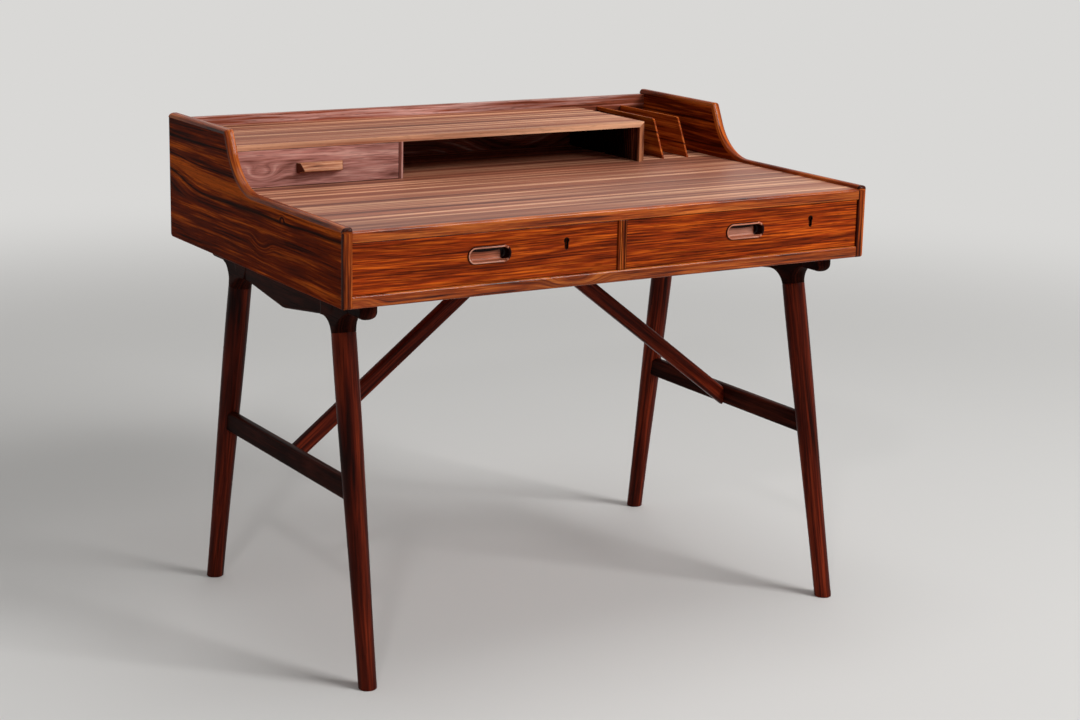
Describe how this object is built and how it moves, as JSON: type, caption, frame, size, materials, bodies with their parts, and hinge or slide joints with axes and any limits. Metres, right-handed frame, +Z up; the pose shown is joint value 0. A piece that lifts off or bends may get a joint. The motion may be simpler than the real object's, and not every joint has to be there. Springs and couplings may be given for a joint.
{
  "type": "writing desk",
  "caption": "Rosewood writing desk with locked front drawers, a low gallery with a small drawer and letter slots, and a splayed turned leg frame braced to the case.",
  "frame": {"origin": "on the floor, at the middle of the rectangle that the desk covers", "axes": "+X to the sitter's right, +Y from the sitter to the back of the desk, +Z up"},
  "size_m": [1.01, 0.699, 0.84],
  "materials": {
    "rosewood_veneer": "satin lacquer",
    "rosewood_top_veneer": "satin lacquer",
    "rosewood_edging": "satin lacquer",
    "rosewood_frame": "satin lacquer",
    "rosewood_handle": "satin lacquer",
    "drawer_wood": "thin matt lacquer",
    "lock_brass": "dull, plain",
    "screw_steel": "dull"
  },
  "bodies": {
    "case_and_frame": {"left_side_panel": "rosewood_veneer", "right_side_panel": "rosewood_veneer", "back_panel": "rosewood_veneer", "bottom_board": "rosewood_veneer", "centre_divider": "rosewood_veneer", "desktop_board": "rosewood_top_veneer", "gallery_top_board": "rosewood_top_veneer", "left_front_edging": "rosewood_edging", "right_front_edging": "rosewood_edging", "left_top_edging": "rosewood_edging", "right_top_edging": "rosewood_edging", "desktop_front_edging": "rosewood_edging", "bottom_front_edging": "rosewood_edging", "centre_stile": "rosewood_edging", "back_panel_edging": "rosewood_edging", "gallery_end_upright": "rosewood_edging", "gallery_partition": "rosewood_edging", "letter_divider_1": "rosewood_edging", "letter_divider_2": "rosewood_edging", "drawer_runners": "drawer_wood", "gallery_drawer_stop": "drawer_wood", "left_end_rail": "rosewood_frame", "right_end_rail": "rosewood_frame", "left_brace": "rosewood_frame", "right_brace": "rosewood_frame", "brace_block": "rosewood_frame", "left_stretcher": "rosewood_frame", "right_stretcher": "rosewood_frame", "front_left_leg": "rosewood_frame", "front_right_leg": "rosewood_frame", "back_left_leg": "rosewood_frame", "back_right_leg": "rosewood_frame", "brace_screws": "screw_steel", "case_screws": "screw_steel"},
    "left_drawer": {"left_drawer_front": "rosewood_veneer", "left_drawer_left_side": "drawer_wood", "left_drawer_right_side": "drawer_wood", "left_drawer_back": "drawer_wood", "left_drawer_bottom": "drawer_wood", "left_drawer_handle": "rosewood_handle", "left_drawer_escutcheon": "lock_brass", "left_drawer_lock_case": "lock_brass"},
    "left_lock_bolt": {"left_lock_bolt": "lock_brass"},
    "right_drawer": {"right_drawer_front": "rosewood_veneer", "right_drawer_left_side": "drawer_wood", "right_drawer_right_side": "drawer_wood", "right_drawer_back": "drawer_wood", "right_drawer_bottom": "drawer_wood", "right_drawer_handle": "rosewood_handle", "right_drawer_escutcheon": "lock_brass", "right_drawer_lock_case": "lock_brass"},
    "right_lock_bolt": {"right_lock_bolt": "lock_brass"},
    "small_drawer": {"small_drawer_front": "rosewood_veneer", "small_drawer_left_side": "drawer_wood", "small_drawer_right_side": "drawer_wood", "small_drawer_back": "drawer_wood", "small_drawer_bottom": "drawer_wood", "small_drawer_pull": "rosewood_handle"}
  },
  "joints": [
    {"name": "left_drawer_slide", "type": "slide", "parent": "case_and_frame", "child": "left_drawer", "axis": [0, -1, 0], "range_m": [0, 0.38]},
    {"name": "left_lock_bolt_slide", "type": "slide", "parent": "left_drawer", "child": "left_lock_bolt", "axis": [0, 0, 1], "range_m": [0, 0.006]},
    {"name": "right_drawer_slide", "type": "slide", "parent": "case_and_frame", "child": "right_drawer", "axis": [0, -1, 0], "range_m": [0, 0.38]},
    {"name": "right_lock_bolt_slide", "type": "slide", "parent": "right_drawer", "child": "right_lock_bolt", "axis": [0, 0, 1], "range_m": [0, 0.006]},
    {"name": "small_drawer_slide", "type": "slide", "parent": "case_and_frame", "child": "small_drawer", "axis": [0, -1, 0], "range_m": [0, 0.15]}
  ]
}
